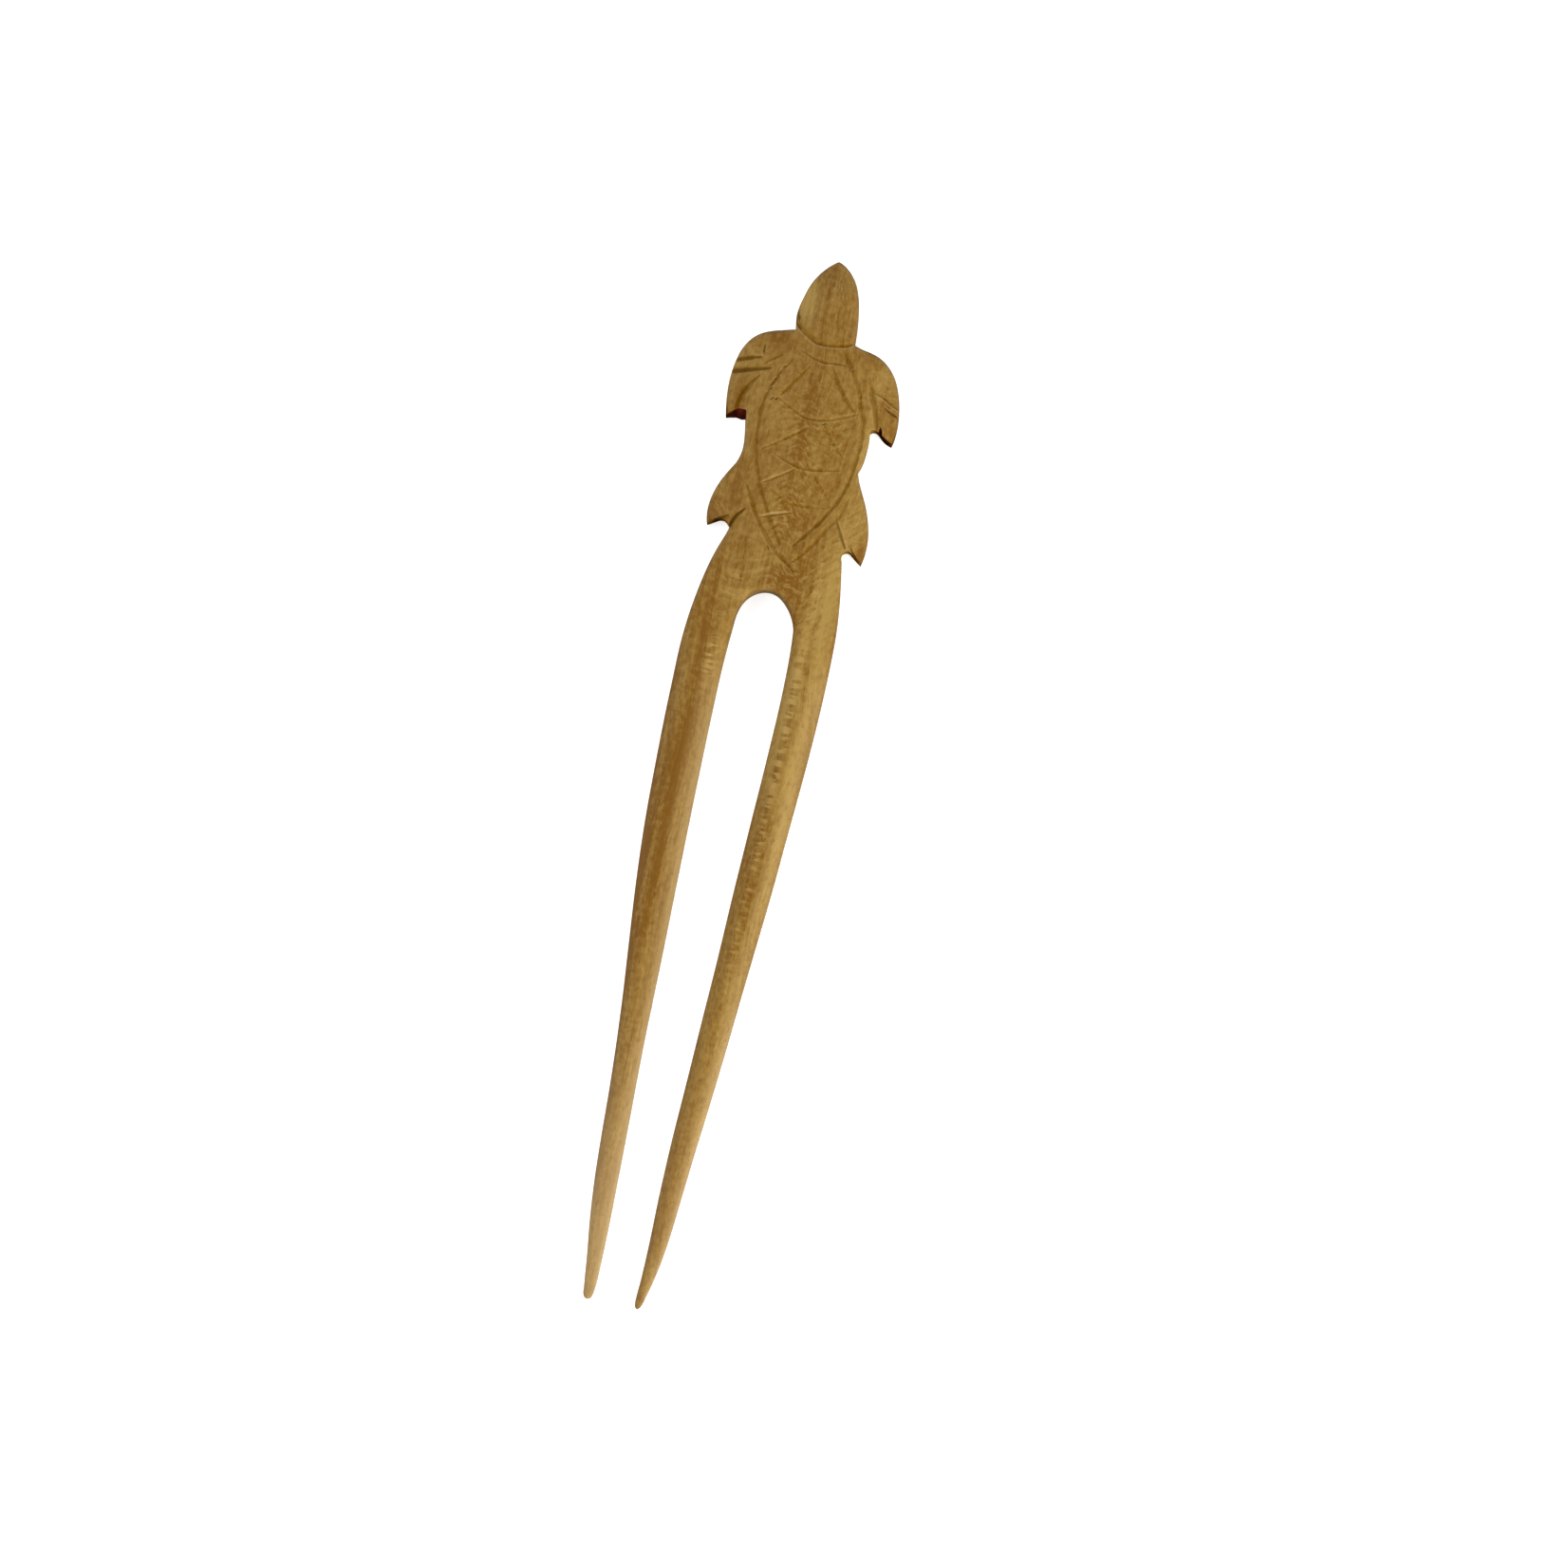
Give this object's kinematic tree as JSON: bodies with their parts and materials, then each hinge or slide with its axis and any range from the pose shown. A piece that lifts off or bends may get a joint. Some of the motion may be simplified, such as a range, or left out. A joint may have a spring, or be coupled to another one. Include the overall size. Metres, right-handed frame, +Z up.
{
  "type": "two-pronged hair stick",
  "caption": "Wooden hair fork that pins a bun: two tapering prongs joined by an arch under a flat turtle with a carved shell, head and flippers.",
  "frame": {"origin": "middle of the fork's box, on the flat back that it lies on", "axes": "+Y along the fork from the prongs to the turtle's nose, +X to the right across it, +Z up out of the carved face"},
  "size_m": [0.0296, 0.18, 0.007],
  "materials": {
    "wood": "hand-rubbed oil, satin"
  },
  "bodies": {
    "root": {"hair_fork": "wood"}
  },
  "joints": []
}
